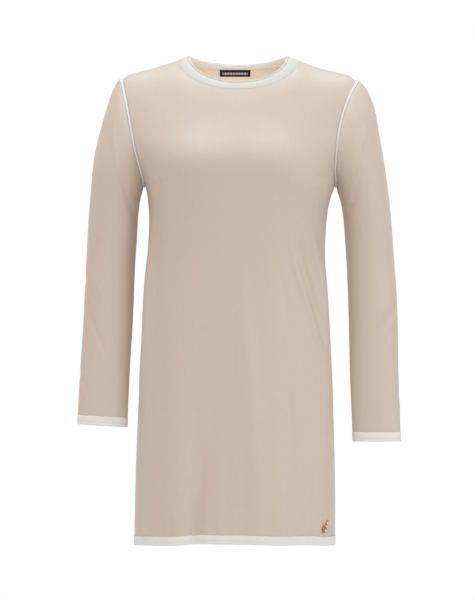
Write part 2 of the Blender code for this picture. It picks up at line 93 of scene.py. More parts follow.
class Table:
    """Rows of numbers under named columns, read between the rows along a smooth curve by the first column.

    Lengths are written in millimetres and read in metres. The plain columns are read as they are written.
    """

    def __init__(self, names, rows, plain=()):
        self.names = names.split()
        self.rows = np.array(sorted(rows), float) / [1 if name in plain else 1000 for name in self.names]

    def read(self, name, at):
        keys = self.rows[:, 0]
        values = self.rows[:, self.names.index(name)]
        slopes = np.gradient(values, keys)
        at = np.clip(at, keys[0], keys[-1])
        low = np.clip(np.searchsorted(keys, at) - 1, 0, len(keys) - 2)
        step = keys[low + 1] - keys[low]
        part = (at - keys[low]) / step
        rest = 1 - part
        start = values[low] * (1 + 2 * part) + slopes[low] * step * part
        end = values[low + 1] * (1 + 2 * rest) - slopes[low + 1] * step * rest
        return start * rest**2 + end * part**2


# Body sections: how far the side edge stands to each side, how deep the middle stands, how square each one is
BODY = Table(
    "height right left front back roundness",
    [
        (-35, 204.6, 209.8, 128, 103, 1.75),
        (-60, 199, 196, 128, 103, 1.75),
        (-100, 191.3, 181.5, 128, 103, 1.8),
        (-135, 185, 174.5, 128, 103, 1.9),
        (-170, 177.5, 170.6, 127.5, 103, 2.15),
        (-195, 170.5, 169.2, 126.5, 102, 2.4),
        (-224, 164, 170.4, 124.5, 101, 2.5),
        (-240, 161, 165, 123, 100, 2.45),
        (-260, 158.8, 159.8, 121, 98, 2.4),
        (-280, 157.6, 157.2, 118.5, 96, 2.35),
        (-315, 159, 154.5, 115.5, 92, 2.3),
        (-350, 161.2, 154, 113.5, 90, 2.25),
        (-400, 165.5, 157.3, 112.5, 90, 2.25),
        (-500, 170.5, 163, 114, 100, 2.25),
        (-620, 177.2, 168.4, 117, 112, 2.25),
        (-750, 182.2, 171.7, 121, 115, 2.25),
        (-860, 184.2, 171.9, 124, 116, 2.25),
    ],
    plain=["roundness"],
)

# Fullness shaped into the front: where its middle is, its half width and half height, how far it stands out
BUST = [(-0.083, -0.174, 0.048, 0.033, 0.008), (0.086, -0.174, 0.048, 0.033, 0.008)]

# The shoulder seams' heights by distance from the middle, running on as a guide over the neck opening
SHOULDER = Table(
    "across right left",
    [
        (0, 12, 12),
        (50, 9.2, 9.2),
        (107.5, 0, 0),
        (128, -6.3, -8),
        (151.2, -13.4, -14.8),
        (179, -20.6, -21.6),
        (199, -28, -27.8),
        (210, -37.2, -36.5),
    ],
)

# Largest soft folds, in millimetres: start and end, half width, how far each stands out at its lower end
FOLDS = {
    "front": [
        (-37, -300, -68, -860, 19, -9.5),
        (23, -380, 76, -860, 30, 7.5),
        (-112, -420, -110, -860, 24, 6),
        (108, -560, 121, -860, 16, -5),
        (150, -560, 160, -860, 18, 4),
    ],
    "back": [
        (50, -460, 64, -860, 22, -9),
        (-6, -420, -10, -860, 28, 7),
        (-70, -480, -86, -860, 20, -8),
        (112, -500, 122, -860, 22, 6),
        (-140, -560, -148, -860, 18, 5),
    ],
}

# Creases, in millimetres: start and end, each as distance round the body from the middle and height, then
# bow, half width, rise
CREASES = {
    "front": [
        (84, -295, 190, -585, 6, 9, 3.2),
        (106, -285, 176, -465, 4, 9, -3.2),
        (142, -285, 180, -405, 3, 9, 1.8),
        (70, -350, 122, -560, 5, 12, -1.6),
        (0, -320, 50, -1050, 0, 21, 4.2),
        (90, -480, 110, -1050, 2, 14, -3.6),
        (128, -620, 130, -1080, 0, 12, 2.2),
        (-74, -540, -96, -1050, 0, 16.5, -3.4),
        (-58.5, -680, -108, -1150, 0, 12, -6.8),
        (-150, -600, -148, -1080, -4, 11, -2.2),
        (-198, -580, -201, -1150, 0, 26, -4),
        (-22, -600, -20, -1050, 0, 11, -1.6),
        (-190, -236, -118, -200, -6, 8, -1.4),
        (-200, -262, -140, -236, -5, 7, -1),
        (195, -232, 126, -203, 6, 8, -1.4),
        (-208, -300, -154, -322, -4, 7, -1.2),
        (-210, -345, -162, -350, -3, 6, -0.9),
        (-150, -330, -164, -520, 5, 11, -1.2),
        (185, -240, 190, -820, 0, 30, 8),
        (-190, -230, -201, -740, 0, 30, 9.5),
    ],
    "back": [
        (-125, -322, 70, -338, 9, 11, -2.2),
        (-60, -366, 128, -352, -8, 12, -1.8),
        (-150, -392, -30, -402, 7, 11, -1.3),
        (0, -70, 4, -270, 5, 26, -2.4),
        (190, -232, 86, -292, -8, 10, -1.8),
        (-186, -236, -98, -286, 8, 10, -1.8),
        (-195, -262, -130, -322, 6, 8, 1.2),
        (204, -300, 142, -330, 5, 8, -1.4),
        (26, -480, 12, -1050, -6, 12, -2.4),
        (-40, -520, -50, -1050, 5, 11, 2.2),
    ],
}

# A crease fades in and out over these parts of its length, and its lips rise by this share of it. None runs
# into a side seam.
CREASE_FADE_IN = 0.3
CREASE_FADE_OUT = 0.4
CREASE_LIPS = 0.45
CLEAR_OF_SIDES = 0.05

# The chest's fullest line, which drops towards the left side over this length
CHEST_LINE = -0.178
CHEST_LINE_DROP = 0.026
CHEST_DROP_START = 0.045
CHEST_DROP_LENGTH = 0.100


def unit(vectors):
    return vectors / np.linalg.norm(vectors, axis=-1, keepdims=True)


def dot(one, other):
    return np.sum(one * other, axis=-1, keepdims=True)


def ease(part):
    part = np.clip(part, 0, 1)
    return part * part * (3 - 2 * part)


def half_width(column, height):
    return np.where(column < 0, BODY.read("right", height), BODY.read("left", height))


def shoulder_height(across):
    distance = np.abs(across)
    return np.where(across < 0, SHOULDER.read("right", distance), SHOULDER.read("left", distance))


def neckline_height(side, across):
    bend, end = NECK_CURVE[side]
    share = np.clip(np.abs(across) / NECK_HALF_WIDTH, 0, 1)
    return -NECK_DROP[side] * (1 - share**bend) ** end


def shoulder_roll(side, drop):
    """How much of its full depth a panel has reached at this drop below the shoulder line."""
    reach, bend, end = SHOULDER_ROLL[side]
    return (1 - (1 - np.clip(drop / reach, 0, 1)) ** bend) ** end


def fold_depth(side, across, height):
    depth = np.zeros_like(across)
    for from_x, from_z, to_x, to_z, width, stands_out in np.array(FOLDS[side]) / 1000:
        part = np.clip((from_z - height) / (from_z - to_z), 0, 1.1)
        middle = from_x + (to_x - from_x) * part
        depth += stands_out * ease(part / 1.1) * np.exp(-0.5 * ((across - middle) / width) ** 2)
    return depth


def hills(rows, across, height):
    """Soft rounded fullness: each row gives a middle, a level, a half width, a half height and a rise."""
    depth = np.zeros_like(across)
    for middle, level, width, tall, rise in rows:
        far = ((across - middle) / width) ** 2 + ((height - level) / tall) ** 2
        depth += rise * np.exp(-0.5 * far)
    return depth


def panel_depth(side, column, height):
    """How far the panel stands in front of the side seam's plane, or behind it for the back.

    Above the underarm the armhole cuts the section off short of its full width, so the edge keeps some depth.
    """
    across = column * half_width(column, height)
    place = np.abs(column)
    rise = np.clip((height - UNDERARM_HEIGHT) / ARMHOLE_CURVE_HEIGHT, 0, 1)
    full = BODY.read(side, height)
    edge = ARMHOLE_DEPTH[side] / full * np.sin(rise * math.pi / 2) ** ARMHOLE_CURVE
    roundness = BODY.read("roundness", height)
    share = place**roundness * (1 - edge**roundness)
    depth = full * np.clip(1 - share, 0, 1) ** (1 / roundness)
    if side == "front":
        depth += hills(BUST, across, height) * (1 - place**4)
    drop = shoulder_height(across) - height
    return depth * shoulder_roll(side, drop) + fold_depth(side, across, height) * (1 - place**8)


def lengths(points, axis=0):
    """How far along a line each point lies, or along a grid's rows or columns from the first."""
    steps = np.linalg.norm(np.diff(points, axis=axis), axis=-1)
    return np.concatenate([np.zeros_like(steps.take([0], axis)), np.cumsum(steps, axis)], axis)


def neck_shares(side, arm):
    """Shares of the half width from the middle to the neck corner, evenly spaced along the neckline."""
    corner = NECK_HALF_WIDTH / BODY.read(arm, 0.0)
    share = corner * np.sin(np.linspace(0, math.pi / 2, 2000))
    height = neckline_height(side, share * BODY.read(arm, 0.0))
    across = share * BODY.read(arm, height)
    length = lengths(np.stack([across, panel_depth(side, OUTWARD[arm] * share, height), height], axis=-1))
    return np.interp(np.linspace(0, length[-1], NECK_COLUMNS + 1), length, share)


def top_columns(side):
    """Shares of the half width at the top, from -1 at the right shoulder to 1 at the left."""
    halves = []
    for arm in OUTWARD:
        neck = neck_shares(side, arm)
        shoulder = np.linspace(neck[-1], 1, SHOULDER_COLUMNS + 1)
        halves.append(np.concatenate([neck, shoulder[1:]]))
    return np.concatenate([-halves[0][:0:-1], halves[1]])


def panel_grid(side):
    """Points from the hem seam up to the shoulder, row by row, and each point's share of the half width."""
    low = np.sin(np.linspace(-math.pi / 2, math.pi / 2, 2 * (NECK_COLUMNS + SHOULDER_COLUMNS) + 1))
    high = top_columns(side)
    hem_across = low * half_width(low, HEM_SEAM_HEIGHT)
    hem = HEM_SEAM_HEIGHT + HEM_LIFT[side] * (1 - low**2)
    hem -= HEM_WAVE * fold_depth(side, hem_across, HEM_SEAM_HEIGHT) * (1 - low**8)
    below = hem + (UNDERARM_HEIGHT - hem) * np.linspace(0, 1, LOW_ROWS + 1)[:-1, None]
    top = np.zeros_like(high)
    for _ in range(TOP_ROUNDS):
        across = high * half_width(high, top)
        on_neck = np.abs(across) <= NECK_HALF_WIDTH + ROUNDING
        top = np.where(on_neck, neckline_height(side, across), shoulder_height(across))
    above = (1 - np.cos(np.linspace(0, math.pi, ARMHOLE_ROWS + 1))) / 2
    heights = np.concatenate([below, UNDERARM_HEIGHT + (top - UNDERARM_HEIGHT) * above[:, None]])
    turning = np.concatenate([np.zeros(LOW_ROWS), ease(above)])
    columns = low + (high - low) * turning[:, None]
    across = columns * half_width(columns, heights)
    deep = FACING[side] * panel_depth(side, columns, heights)
    return np.stack([across, deep, heights], axis=-1), columns


def crease_relief(creases, across, up):
    """How far creases lift the cloth. Each is soft, fades at both ends and has a low lip on either side."""
    relief = np.zeros_like(across)
    for from_u, from_v, to_u, to_v, bow, width, rise in np.array(creases) / 1000:
        run_u = to_u - from_u
        run_v = to_v - from_v
        length = math.hypot(run_u, run_v)
        part = ((across - from_u) * run_u + (up - from_v) * run_v) / length**2
        inside = np.clip(part, 0, 1)
        off = ((across - from_u) * run_v - (up - from_v) * run_u) / length
        off = (off - bow * 4 * inside * (1 - inside)) / (width * (0.75 + 0.5 * inside))
        fading = ease(inside / CREASE_FADE_IN) * ease((1 - inside) / CREASE_FADE_OUT)
        relief += rise * fading * (1 - CREASE_LIPS * off**2) * np.exp(-(off**2))
    return relief


def chest_relief(across, height, place):
    """How the front hangs from the fullest line of the chest: flat above it and turned in below."""
    fullest = CHEST_LINE - CHEST_LINE_DROP * ease((across - CHEST_DROP_START) / CHEST_DROP_LENGTH)
    shape = [
        (0, fullest, math.inf, 0.029, 0.0045),
        (0, fullest, 0.042, 0.029, 0.0020),
        (0, -0.085, math.inf, 0.030, -0.0025),
        (-0.083, -0.174, 0.030, 0.022, 0.0014),
        (0.080, -0.174, 0.030, 0.022, 0.0014),
    ]
    return hills(shape, across, height) * (1 - place**4)


def on_cut(across, down):
    """Places on a piece's flat cut."""
    return np.stack(np.broadcast_arrays(across, down, 0.0), axis=-1)


def grid_normals(points):
    return unit(np.cross(np.gradient(points, axis=1), np.gradient(points, axis=0)))


def panel_surface(side):
    """A panel's middle surface: points, normals and each point's place on the flat cut."""
    points, columns = panel_grid(side)
    middle = NECK_COLUMNS + SHOULDER_COLUMNS
    round_body = lengths(points, axis=1)
    round_body -= round_body[:, middle : middle + 1]
    up = lengths(points, axis=0)
    up -= up[LOW_ROWS]
    clear = ease((1 - np.abs(columns)) / CLEAR_OF_SIDES)
    relief = crease_relief(CREASES[side], round_body, points[..., 2]) * clear
    if side == "front":
        relief += chest_relief(points[..., 0], points[..., 2], np.abs(columns))
    points = points - FACING[side] * grid_normals(points) * relief[..., None]
    return points, -FACING[side] * grid_normals(points), on_cut(round_body, up)


def way_round(points):
    """The way along a closed line at each of its points."""
    return unit(np.roll(points, -1, axis=0) - np.roll(points, 1, axis=0))


def border_of(rows, columns):
    """Numbers of a grid's border points in order, once round."""
    index = np.arange(rows * columns).reshape(rows, columns)
    return np.concatenate([index[0, :-1], index[:-1, -1], index[-1, :0:-1], index[:0:-1, 0]])


def border_ways(points, normals, border, columns):
    """Directions off the cloth at its border. The sixth point, in the first row, tells which way is out."""
    outward = unit(np.cross(way_round(points[border]), normals))
    return outward * np.sign(dot(outward[5], points[5] - points[5 + columns]))


def draw_in(points, flat, border, outward, distance):
    """Moves the cloth beside its border inwards, most at the border and none past DRAWN_PART."""
    tree = KDTree(len(border))
    for number, place in enumerate(flat[border]):
        tree.insert(place, number)
    tree.balance()
    nearest = np.array([tree.find(place)[1] for place in flat])
    off = np.linalg.norm(flat - flat[border][nearest], axis=1, keepdims=True)
    return points - outward[nearest] * distance * np.clip(1 - off / DRAWN_PART, 0, 1) ** 2


def grid_quads(index):
    corners = [index[:-1, :-1], index[:-1, 1:], index[1:, 1:], index[1:, :-1]]
    return np.stack(corners, axis=-1).reshape(-1, 4)


def put_in(name, data):
    """A new object in the scene."""
    thing = bpy.data.objects.new(name, data)
    bpy.context.scene.collection.objects.link(thing)
    return thing


def make_piece(name, points, faces, cut, materials, wrong_side_from=None, smooth=True):
    """A mesh whose points, or whose faces' corners, know their place on the flat cut.

    Faces from wrong_side_from on are the wrong side of the cloth and get the second material.
    """
    mesh = bpy.data.meshes.new(name)
    mesh.from_pydata(points.tolist(), [], faces)
    flat = mesh.attributes.new("cut", "FLOAT_VECTOR", "POINT" if len(cut) == len(points) else "CORNER")
    flat.data.foreach_set("vector", cut.astype(np.float32).ravel())
    for material in materials:
        mesh.materials.append(material)
    if wrong_side_from is not None:
        side = np.zeros(len(faces), np.int32)
        side[wrong_side_from:] = 1
        mesh.polygons.foreach_set("material_index", side)
    skin = bmesh.new()
    skin.from_mesh(mesh)
    bmesh.ops.recalc_face_normals(skin, faces=skin.faces)
    skin.to_mesh(mesh)
    skin.free()
    if smooth:
        mesh.shade_smooth()
    piece = put_in(name, mesh)
    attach(piece, "root")
    return piece


def make_shell(name, points, normals, cut, materials, allowance=1.0):
    """Cloth on a grid of points. Its border rolls in through a quarter turn and ends in a short allowance.

    allowance is the share of its full depth, for the whole border or for each of its points.
    """
    rows, columns = points.shape[:2]
    border = border_of(rows, columns)
    face = grid_quads(np.arange(rows * columns).reshape(rows, columns))
    points, normals, cut = (grid.reshape(-1, 3) for grid in (points, normals, cut))
    outward = border_ways(points, normals[border], border, columns)
    flat_outward = border_ways(cut, [0.0, 0.0, 1.0], border, columns)
    points = draw_in(points, cut, border, outward, CLOTH / 2 + TURN + SEAM_GAP / 4)
    middles = [points]
    ways = [normals]
    flats = [cut]
    for degrees, down in EDGE_ROLL:
        turn = math.radians(degrees)
        drop = TURN * (1 - math.cos(turn)) + down * allowance
        middles.append(points[border] + outward * TURN * math.sin(turn) - normals[border] * drop)
        ways.append(normals[border] * math.cos(turn) + outward * math.sin(turn))
        flats.append(cut[border] + flat_outward * (TURN * turn + down))
    middle = np.concatenate(middles)
    way = np.concatenate(ways)
    beyond = len(points) + np.arange(len(EDGE_ROLL) * len(border)).reshape(len(EDGE_ROLL), -1)
    rings = [border, *beyond]
    strips = [face]
    for this, following in zip(rings, rings[1:]):
        strips.append(np.stack([this, np.roll(this, -1), np.roll(following, -1), following], axis=-1))
    right = np.concatenate(strips)
    last = rings[-1]
    end = last + len(middle)
    rim = np.stack([last, np.roll(last, -1), np.roll(end, -1), end], axis=-1)
    quads = np.concatenate([right, rim, right[:, ::-1] + len(middle)])
    places = np.concatenate([middle + way * CLOTH / 2, middle - way * CLOTH / 2])
    flat = np.concatenate(flats * 2)
    return make_piece(name, places, quads.tolist(), flat, materials, wrong_side_from=len(right) + len(rim))


class Shade:
    """One output of a material's nodes. Arithmetic on it adds Math nodes, and add puts in any other node."""

    def __init__(self, tree, output=None):
        self.tree = tree
        self.output = output

    def add(self, kind, settings=None, inputs=None, out=0):
        node = self.tree.nodes.new(kind)
        for key, value in (settings or {}).items():
            setattr(node, key, value)
        for key, value in (inputs or {}).items():
            if isinstance(value, Shade):
                self.tree.links.new(value.output, node.inputs[key])
            else:
                node.inputs[key].default_value = value
        return Shade(self.tree, node.outputs[out])

    def math(self, operation, one, other=0.0):
        return self.add("ShaderNodeMath", {"operation": operation}, {0: one, 1: other})

    def __add__(self, other):
        return self.math("ADD", self, other)

    def __sub__(self, other):
        return self.math("SUBTRACT", self, other)

    def __rsub__(self, other):
        return self.math("SUBTRACT", other, self)

    def __mul__(self, other):
        return self.math("MULTIPLY", self, other)

    def __truediv__(self, other):
        return self.math("DIVIDE", self, other)

    def __abs__(self):
        return self.math("ABSOLUTE", self)

    __radd__ = __add__
    __rmul__ = __mul__

    def part(self, axis):
        return self.add("ShaderNodeSeparateXYZ", None, {0: self}, axis)

    def saw(self, length):
        """Distance from the nearest of evenly spaced lines, 0 on a line and 0.5 half way between two."""
        return abs(self.math("FRACT", self / length + 0.5) - 0.5)

    def rise(self, low, high):
        """0 below low, 1 above high and smooth between them."""
        settings = {"interpolation_type": "SMOOTHSTEP"}
        return self.add("ShaderNodeMapRange", settings, {0: self, 1: low, 2: high})

    def noise(self, ways, detail=2.0):
        """Soft noise from 0 to 1, with this many patches a metre each way."""
        stretched = self.add("ShaderNodeVectorMath", {"operation": "MULTIPLY"}, {0: self, 1: ways})
        return self.add("ShaderNodeTexNoise", None, {"Vector": stretched, "Scale": 1.0, "Detail": detail})

    def mix(self, low, high):
        """A colour that goes from low to high as this value goes from 0 to 1."""
        low, high = (tone if isinstance(tone, Shade) else (*tone, 1.0) for tone in (low, high))
        return self.add("ShaderNodeMix", {"data_type": "RGBA"}, {0: self, 6: low, 7: high}, 2)

    def bump(self, distance, strength):
        inputs = {"Height": self, "Distance": distance, "Strength": strength}
        return self.add("ShaderNodeBump", None, inputs)

    def into(self, shader, name):
        self.tree.links.new(self.output, shader.inputs[name])


def new_material(name, has_cut=True, **constants):
    """A material, its shader with the constant values set, and each point's place on the flat cut.

    For a piece without a cut, the third value is only a start for other nodes.
    """
    material = bpy.data.materials.new(name)
    material.use_nodes = True
    shader = material.node_tree.nodes["Principled BSDF"]
    for key, value in constants.items():
        shader.inputs[key.replace("_", " ").title().replace("Ior", "IOR")].default_value = value
    start = Shade(material.node_tree)
    if has_cut:
        start = start.add("ShaderNodeAttribute", {"attribute_name": "cut"}, out=1)
    return material, shader, start


def plain_knit(place, wale, course):
    """Height of plain knitting, 0 to 1: upright columns of stitches, each of two slanted threads."""
    aside = place.part(0).saw(wale)
    thread = aside.math("SINE", aside * (2 * math.pi))
    slanted = place.part(1) / course + aside * 1.1
    stitch = slanted.math("COSINE", slanted * (2 * math.pi))
    return thread * (stitch * 0.22 + 0.78)


def purl_side(place, wale, course):
    """Height of the reverse side of plain knitting: short loops lying across, in staggered rows."""
    aside = place.part(0).saw(wale)
    level = (place.part(1) + aside * (course * 0.5)).saw(course)
    return (1 - level * 2) * (1 - aside * 0.8)


def jersey(name, deep, pale, knit):
    """Fine jersey: two close tones in small faint patches, with painted shade between the stitches, faint
    darker fibre flecks and a soft nap.
    """
    finish = {"roughness": 0.48, "specular_ior_level": 1.00, "sheen_weight": 0.28, "sheen_roughness": 0.35}
    material, shader, place = new_material(name, **finish)
    height = knit(place, *JERSEY_STITCH)
    tone = place.noise((130.0, 65.0, 1.0), 3.0).rise(0.30, 0.70)
    fibre = place.noise((1900.0, 900.0, 1.0), 1.0)
    # Painted shade between the stitches, plus darker flecks where the fine fibre noise is low
    stitch_shade_and_fibre_tone = [value * 0.86 for value in deep]
    cloth = tone.mix(deep, pale)
    hollow = (1 - height) * 0.30 + (1 - fibre) * 0.16
    hollow.mix(cloth, stitch_shade_and_fibre_tone).into(shader, "Base Color")
    (height + fibre * 0.35).bump(0.00030, 0.30).into(shader, "Normal")
    return material


# Front and back stand the same way where they meet, down the sides and along the shoulders
panels = {side: panel_surface(side) for side in FACING}
for seam in (
    (slice(0, LOW_ROWS + 1), 0),
    (slice(0, LOW_ROWS + 1), -1),
    (-1, slice(0, SHOULDER_COLUMNS + 1)),
    (-1, slice(-SHOULDER_COLUMNS - 1, None)),
):
    shared = unit(panels["front"][1][seam] + panels["back"][1][seam])
    for side in FACING:
        panels[side][1][seam] = shared

jersey_face = jersey("jersey", (0.660, 0.557, 0.464), (0.676, 0.572, 0.479), plain_knit)
jersey_reverse = jersey("jersey_wrong_side", (0.680, 0.568, 0.455), (0.700, 0.590, 0.478), purl_side)

# The neckline's own allowance is trimmed short inside the neck band
rows, columns = panels["front"][0].shape[:2]
on_neckline = np.ones((rows, columns))
on_neckline[-1, SHOULDER_COLUMNS:-SHOULDER_COLUMNS] = NECK_ALLOWANCE
allowance = on_neckline.ravel()[border_of(rows, columns)][:, None]

# Each panel's flat cut: width, length and area
PANEL_CUTS = {"front": (0.460, 0.845, 0.340), "back": (0.460, 0.860, 0.340)}
for side, (width, length, area) in PANEL_CUTS.items():
    panel = make_shell(f"{side}_jersey", *panels[side], [jersey_face, jersey_reverse], allowance)
    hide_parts(side)


# ----------------------------------------
# Armhole piping
# A narrow ivory strip folded over and caught in each armhole seam, so it stands between the body and the
# sleeve all the way round, a little narrower under the arm.

SOLID_WALL = 0.0015
PIPING_WIDTH_TOP = 0.0044
PIPING_WIDTH_LOW = 0.0030
PIPING_THICKNESS = 0.0024
PIPING_POINTS = 14
PIPING_ROUND = 0.0012

# A trim stitch's width and height, and the length of a stitch in the line that holds a folded trim down
TRIM_STITCH = (0.00090, 0.00075)
SEWN_STITCH = 0.0028


def panel_loop(kind, where):
    """Values along the front's edge at this place, then back along the back's, joined at both ends."""
    front = panels["front"][kind][where]
    back = panels["back"][kind][where]
    first = (front[:1] + back[:1]) / 2
    last = (front[-1:] + back[-1:]) / 2
    return np.concatenate([first, front[1:-1], last, back[-2:0:-1]])


def trim_start(normals, way):
    """How far off the middle of the seam a trim starts, past half the wall and the gap."""
    return SEAM_GAP + SOLID_WALL / 2 * np.abs(dot(normals, way))


def armhole_frame(arm):
    """The armhole's points, the ways outwards and off the loop, and the trim's start and width there."""
    edge = (slice(LOW_ROWS, None), 0 if arm == "right" else -1)
    points = panel_loop(0, edge)
    normals = unit(panel_loop(1, edge))
    along = way_round(points)
    away = np.array([OUTWARD[arm], 0.0, 0.0])
    outward = unit(away - along * dot(along, away))
    off_loop = unit(np.cross(along, outward))
    off_loop *= np.sign(dot(off_loop, points - points.mean(axis=0)).mean())
    height = (points[:, 2:] - points[0, 2]) / (points[:, 2].max() - points[0, 2])
    width = PIPING_WIDTH_LOW + (PIPING_WIDTH_TOP - PIPING_WIDTH_LOW) * height
    return points, outward, off_loop, trim_start(normals, outward), width


def ivory(name, tone, stitch_line=None, seam_shade_to=None):
    """Dense ivory knitting of one tone, with painted shade between the stitches. A line of small stitches
    shows this far from the band's seam, with painted shade on both sides of it.

    Where the last argument is given, painted shade darkens the tone at the seam and fades out up to that
    distance.
    """
    finish = {"roughness": 0.80, "specular_ior_level": 0.15, "sheen_weight": 0.08, "sheen_roughness": 0.45}
    material, shader, place = new_material(name, **finish)
    height = plain_knit(place, *TRIM_STITCH)
    deep = [value * 0.97 for value in tone]
    # hollow is the colour of the painted shade: between the stitches, at the seam and beside the stitch line
    hollow = [value * 0.78 for value in tone]
    cloth = place.noise((60.0, 60.0, 1.0), 3.0).rise(0.30, 0.70).mix(deep, tone)
    # Painted shade at the band's seam, fading out up the band
    if seam_shade_to:
        cloth = (place.part(1).rise(0.0, seam_shade_to) * 0.5 + 0.5).mix(hollow, cloth)
    # Painted shade between the stitches
    cloth = ((1 - height) * 0.30).mix(cloth, hollow)
    if stitch_line:
        level = abs(place.part(1) - stitch_line)
        thread = (1 - level.rise(0.00020, 0.00045)) * (1 - place.part(0).saw(SEWN_STITCH).rise(0.34, 0.40))
        # Painted shade in the groove on both sides of the stitch line, not on the thread itself
        stitch_groove_shade = (1 - level.rise(0.00030, 0.00110)) * (1 - thread)
        cloth = (stitch_groove_shade * 0.30).mix(cloth, hollow)
        height = height * (1 - thread) + thread * 1.6
    cloth.into(shader, "Base Color")
    height.bump(0.00025, 0.30).into(shader, "Normal")
    return material


def make_band(name, sections, down, materials, closed):
    """A skin through closed sections of a trim. It runs round to the first one, or both ends are filled.

    down is each section point's distance from the seam, for the knit and the stitches.
    """
    count, around = sections.shape[:2]
    index = np.arange(count * around).reshape(count, around)
    index = np.concatenate([index, index[:, :1]], axis=1)
    line = sections[:, 0]
    down = np.append(down, down[0])
    if closed:
        index = np.concatenate([index, index[:1]])
        line = np.concatenate([line, line[:1]])
    quads = grid_quads(index)
    place = on_cut(lengths(line)[:, None], down)
    corners = grid_quads(np.arange(len(line) * (around + 1)).reshape(len(line), around + 1))
    if not closed:
        half = np.arange(around // 2 - 1)
        strip = np.stack([half, half + 1, around - 2 - half, around - 1 - half], axis=-1)
        far = (count - 1) * around
        quads = np.concatenate([quads, strip, strip + far])
        corners = np.concatenate([corners, strip, strip + (count - 1) * (around + 1)])
    cut = place.reshape(-1, 3)[corners.ravel()]
    return make_piece(name, sections.reshape(-1, 3), quads.tolist(), cut, materials)


piping_ivory = ivory("ivory_piping", (0.815, 0.796, 0.750))

# The strip's section is a flattened round, thicker towards its fold than at the seam
turns = np.linspace(0, 2 * math.pi, PIPING_POINTS, endpoint=False)
piping_across = 0.5 - 0.5 * np.copysign(np.abs(np.cos(turns)) ** 0.7, np.cos(turns))
piping_high = 0.5 * np.copysign(np.abs(np.sin(turns)) ** 0.8, np.sin(turns)) * (0.66 + 0.64 * piping_across)
for arm in OUTWARD:
    points, outward, off_loop, start, width = armhole_frame(arm)
    reach = outward[:, None] * (start - SEAM_GAP + (width + 2 * SEAM_GAP) * piping_across)[:, :, None]
    sections = points[:, None] + reach + off_loop[:, None] * PIPING_THICKNESS * piping_high[:, None]
    piping = make_band(f"armhole_strip_{arm}", sections, turns * PIPING_ROUND, [piping_ivory], closed=True)
    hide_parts(f"armhole_piping_{arm}")


# ----------------------------------------
# Sleeves
# One piece of the body's jersey each, with a rounded head set into the armhole against the piping. Each is
# closed by a seam along the under side of the arm and hangs nearly straight, with a few creases at the elbow.

# Rows from the armhole to the cuff, closer at the head, the part of the length that the head shapes, and how
# far creases keep from the seams
SLEEVE_ROWS = 150
CLOSER_AT_HEAD = 1.25
HEAD_PART = 0.30
CLEAR_OF_SEAMS = 0.020

# Rings from the armhole to the cuff: the half depth and how far the middle stands behind the shoulder line,
# then for each arm the points farthest from and nearest to the body, seen from the front
SLEEVES = Table(
    "along half_depth behind "
    "right_outer_x right_outer_drop right_inner_x right_inner_drop "
    "left_outer_x left_outer_drop left_inner_x left_inner_drop",
    [
        (0, 71, 3, 209.8, 34.5, 169.2, 222.8, 215, 38.5, 175.6, 223),
        (0.04, 70, 3, 217, 44, 169.6, 225.5, 223.2, 46, 176, 226),
        (0.08, 69, 3, 224.5, 60, 170.2, 229, 232.8, 61, 176.7, 230),
        (0.13, 67, 3, 234.5, 89, 171.5, 234, 242.7, 88, 178.4, 236),
        (0.19, 64, 3, 246.2, 130, 173.5, 242, 249.5, 125, 181.2, 245),
        (0.26, 61, 4, 256, 174, 176, 256, 257.5, 170, 184.6, 260),
        (0.34, 57, 5, 261.2, 225, 178.6, 280, 265.8, 225, 188, 285),
        (0.43, 53, 6, 266, 285, 180.5, 316, 272, 285, 190.8, 320),
        (0.52, 48, 6, 269.2, 345, 183.8, 362, 276.8, 350, 193.8, 370),
        (0.61, 44, 3, 272.2, 405, 185.8, 415, 281.5, 415, 196.2, 428),
        (0.71, 39, -2, 274.9, 465, 188.2, 472, 283.7, 480, 197.6, 489),
        (0.81, 33, -9, 279, 530, 192.2, 536, 284.2, 550, 199, 557),
        (0.92, 28, -16, 282.5, 590, 195, 596, 286.6, 618, 201.6, 620),
        (1, 25, -20, 284.2, 629, 196.5, 634, 287.6, 659.5, 203.2, 659.5),
    ],
    plain=["along"],
)

# Creases, in millimetres: start and end, each as distance round from the outer side, minus to the front, and
# distance from the armhole, then bow, half width, rise
SLEEVE_CREASES = {
    "right": [
        (-50, 360, 15, 378, 6, 9, -1.5),
        (-75, 395, -5, 398, -5, 10, -1.3),
        (-65, 330, -20, 333, 5, 8, 0.9),
        (-120, 90, -50, 45, 6, 12, 1.6),
        (-150, 60, -90, 90, 6, 10, -1.6),
        (-135, 150, -80, 190, 5, 10, -1.2),
        (60, 350, -10, 370, -6, 10, -1.8),
        (75, 385, 5, 395, 6, 11, -1.5),
        (130, 70, 70, 115, 6, 11, -1.8),
        (-40, 530, 20, 542, 4, 8, -0.9),
        (50, 505, 0, 520, 4, 9, -1.1),
    ],
    "left": [
        (0, 415, -80, 365, 7, 10, -1.6),
        (-10, 440, -65, 415, 5, 9, -1.2),
        (-15, 380, -75, 340, 5, 8, 0.9),
        (-120, 80, -50, 50, 6, 12, 1.2),
        (-145, 65, -90, 100, 6, 10, -1.4),
        (60, 370, -5, 400, -6, 10, -1.7),
        (70, 415, 5, 425, 6, 11, -1.4),
        (130, 70, 70, 115, 6, 11, -1.8),
        (-35, 565, 20, 575, 4, 8, -0.8),
        (45, 530, 0, 545, 4, 9, -1),
    ],
}


